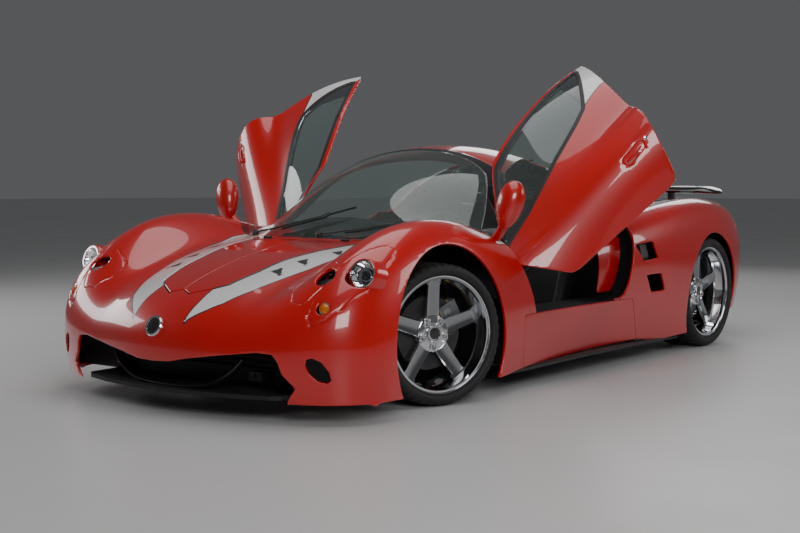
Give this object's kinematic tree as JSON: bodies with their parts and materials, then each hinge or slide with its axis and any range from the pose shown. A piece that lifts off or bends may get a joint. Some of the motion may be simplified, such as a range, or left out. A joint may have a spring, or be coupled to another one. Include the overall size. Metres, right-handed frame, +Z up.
{
  "type": "supercar",
  "caption": "Low mid-engined two-seat supercar with dihedral doors raised, twin stripes, deep-dish wheels, steered front wheels and a rear spoiler.",
  "frame": {"origin": "ground level, midway along the overall length, on the centreline", "axes": "+Z up, nose towards -Y, +X to the car's left side"},
  "size_m": [2.9208, 4.4337, 1.6132],
  "materials": {
    "body_red": "gloss paint with white twin stripes",
    "gloss_black": "gloss black",
    "satin_black": "satin black",
    "glass": "tinted, polished",
    "lamp_clear": "clear lens over a bright reflector",
    "lamp_amber": "moulded lens",
    "lamp_red": "moulded lens",
    "steel_dark": "black coated",
    "steel_bright": "polished",
    "cast_metal": "as cast",
    "trim": "grained",
    "seat_leather": "smooth",
    "rubber": "matt",
    "tyre": "matt",
    "wheel_chrome": "polished"
  },
  "bodies": {
    "chassis": {"tub": "satin_black", "front_clip": "body_red", "windscreen_frame": "gloss_black", "windscreen": "glass", "roof_panel": "body_red", "side_sills": "body_red", "rear_quarter_left": "body_red", "rear_quarter_right": "body_red", "tail_panel": "body_red", "tail_lamps": "lamp_red", "headlamps": "lamp_clear", "indicators": "lamp_amber", "door_hinges": "steel_dark", "lid_hinges": "steel_dark", "front_splitter": "gloss_black", "grille": "satin_black", "engine": "cast_metal", "gearbox": "cast_metal", "dashboard": "trim", "console": "trim", "seats": "seat_leather", "steering_column": "steel_dark", "rear_spoiler": "gloss_black", "mirrors": "body_red", "wipers": "rubber", "exhausts": "steel_bright", "diffuser": "satin_black", "subframes": "steel_dark", "suspension_arms": "steel_dark", "rear_uprights": "cast_metal", "half_shafts": "steel_dark"},
    "hood": {"hood": "body_red"},
    "engine_cover": {"engine_cover": "gloss_black"},
    "door_left": {"door_left": "body_red", "door_glass_left": "glass"},
    "door_right": {"door_right": "body_red", "door_glass_right": "glass"},
    "knuckle_left": {"knuckle_left": "cast_metal"},
    "knuckle_right": {"knuckle_right": "cast_metal"},
    "front_wheel_left": {"tyre_front_left": "tyre", "wheel_front_left": "wheel_chrome"},
    "front_wheel_right": {"tyre_front_right": "tyre", "wheel_front_right": "wheel_chrome"},
    "rear_wheel_left": {"tyre_rear_left": "tyre", "wheel_rear_left": "wheel_chrome"},
    "rear_wheel_right": {"tyre_rear_right": "tyre", "wheel_rear_right": "wheel_chrome"},
    "steering_wheel": {"steering_wheel": "trim"}
  },
  "joints": [
    {"name": "door_left_swing", "type": "hinge", "parent": "chassis", "child": "door_left", "pos_m": [0.807, -0.539, 0.54], "axis": [-0.5838, 0.3299, 0.7418], "range_deg": [0, 62.5]},
    {"name": "door_right_swing", "type": "hinge", "parent": "chassis", "child": "door_right", "pos_m": [-0.807, -0.539, 0.54], "axis": [-0.5838, -0.3299, -0.7418], "range_deg": [0, 62.5]},
    {"name": "hood_lift", "type": "hinge", "parent": "chassis", "child": "hood", "pos_m": [0, -1.184, 0.729], "axis": [-1, 0, 0], "range_deg": [0, 55]},
    {"name": "engine_cover_lift", "type": "hinge", "parent": "chassis", "child": "engine_cover", "pos_m": [0, 0.568, 1.117], "axis": [1, 0, 0], "range_deg": [0, 50]},
    {"name": "steer_left", "type": "hinge", "parent": "chassis", "child": "knuckle_left", "pos_m": [0.732, -1.217, 0.324], "axis": [0, 0, 1], "range_deg": [-12, 52]},
    {"name": "steer_right", "type": "hinge", "parent": "chassis", "child": "knuckle_right", "pos_m": [-0.732, -1.217, 0.324], "axis": [0, 0, 1], "range_deg": [-12, 52]},
    {"name": "steering_wheel_turn", "type": "hinge", "parent": "chassis", "child": "steering_wheel", "pos_m": [0.395, -0.647, 0.64], "axis": [0, 0.9355, 0.3534], "range_deg": [-120, 520]},
    {"name": "front_wheel_left_spin", "type": "hinge", "parent": "knuckle_left", "child": "front_wheel_left", "pos_m": [0.79026, -1.23821, 0.324], "axis": [0.9397, -0.342, 0], "continuous": true},
    {"name": "front_wheel_right_spin", "type": "hinge", "parent": "knuckle_right", "child": "front_wheel_right", "pos_m": [-0.79026, -1.19579, 0.324], "axis": [0.9397, -0.342, 0], "continuous": true},
    {"name": "rear_wheel_left_spin", "type": "hinge", "parent": "chassis", "child": "rear_wheel_left", "pos_m": [0.803, 1.443, 0.328], "axis": [1, 0, 0], "continuous": true},
    {"name": "rear_wheel_right_spin", "type": "hinge", "parent": "chassis", "child": "rear_wheel_right", "pos_m": [-0.803, 1.443, 0.328], "axis": [1, 0, 0], "continuous": true}
  ],
  "couplings": [
    {"joint": "steer_right", "follows": "steer_left", "ratio": 1},
    {"joint": "steering_wheel_turn", "follows": "steer_left", "ratio": 10}
  ]
}
